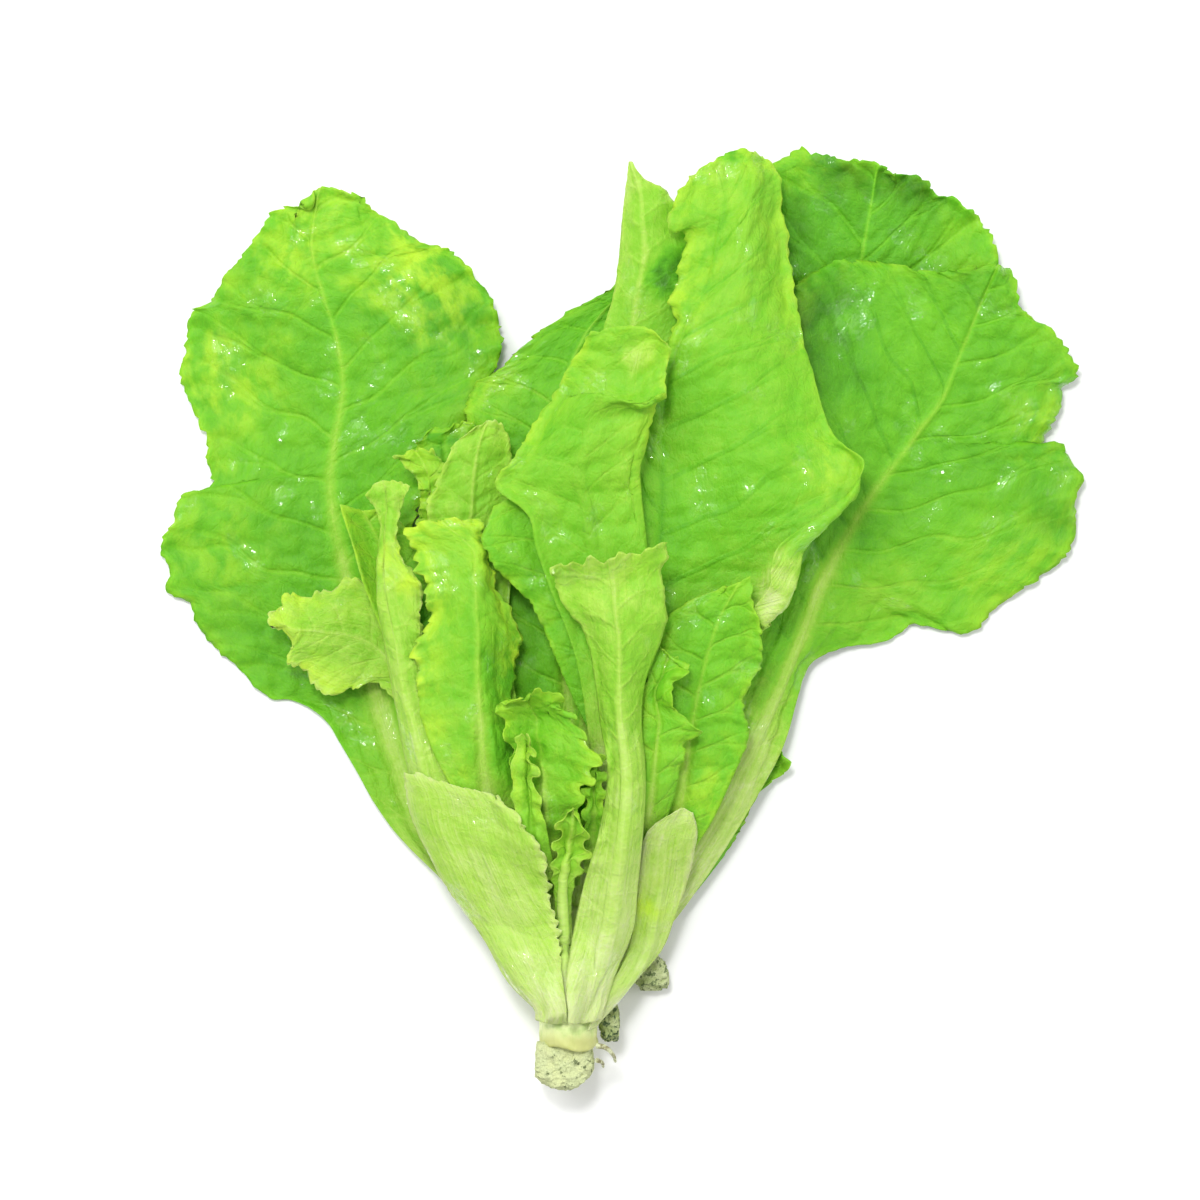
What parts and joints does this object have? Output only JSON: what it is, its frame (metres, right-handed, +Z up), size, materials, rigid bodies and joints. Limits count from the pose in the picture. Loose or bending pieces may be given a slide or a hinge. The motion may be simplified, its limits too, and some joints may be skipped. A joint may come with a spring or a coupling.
{
  "type": "leaf lettuce",
  "caption": "Loose-leaf lettuce head lying on its back: broad frilled green leaves with pale ribs spread from a short cut crown with its seedling plug.",
  "frame": {"origin": "centre of the bounding box's bottom face, on the table under the middle of the head", "axes": "+Z up off the table; +Y from the root end towards the leaf tips; +X to the right as the head lies"},
  "size_m": [0.273, 0.2797, 0.0591],
  "materials": {
    "outer_leaf": "soft satin, mid green, wet in places",
    "inner_leaf": "soft satin, bright green with yellow-green frilled margins",
    "frill_leaf": "soft satin, yellow-green",
    "pale_leaf": "smooth satin, pale green rib and light green blade",
    "crown": "smooth, cream, with a brownish cut end",
    "plug": "matt, crumbly, beige with dark specks",
    "root": "matt, cream"
  },
  "bodies": {
    "root": {"outer_left_leaf": "outer_leaf", "back_right_leaf": "outer_leaf", "back_side_leaf": "inner_leaf", "base_bract": "inner_leaf", "outer_right_leaf": "outer_leaf", "centre_back_leaf": "outer_leaf", "left_frill_leaf": "frill_leaf", "olive_back_leaf": "outer_leaf", "spike_leaf": "inner_leaf", "left_side_leaf": "outer_leaf", "curled_tip_leaf": "inner_leaf", "tall_centre_leaf": "inner_leaf", "inner_left_leaf": "inner_leaf", "left_wrapper_leaf": "pale_leaf", "inner_front_leaf": "inner_leaf", "centre_lower_leaf": "inner_leaf", "centre_front_leaf": "inner_leaf", "right_inner_leaf": "inner_leaf", "right_ruffle_leaf": "inner_leaf", "right_pale_leaf": "pale_leaf", "heart_leaf_inner": "inner_leaf", "heart_leaf_right": "inner_leaf", "heart_leaf_left": "inner_leaf", "heart_leaf_curl": "inner_leaf", "heart_leaf_front": "pale_leaf", "left_front_leaf": "pale_leaf", "front_stem_leaf": "pale_leaf", "crown": "crown", "root_plug": "plug", "plug_fragment_side": "plug", "plug_fragment_upper": "plug", "root_strand_long": "root", "root_strand_short": "root"}
  },
  "joints": []
}
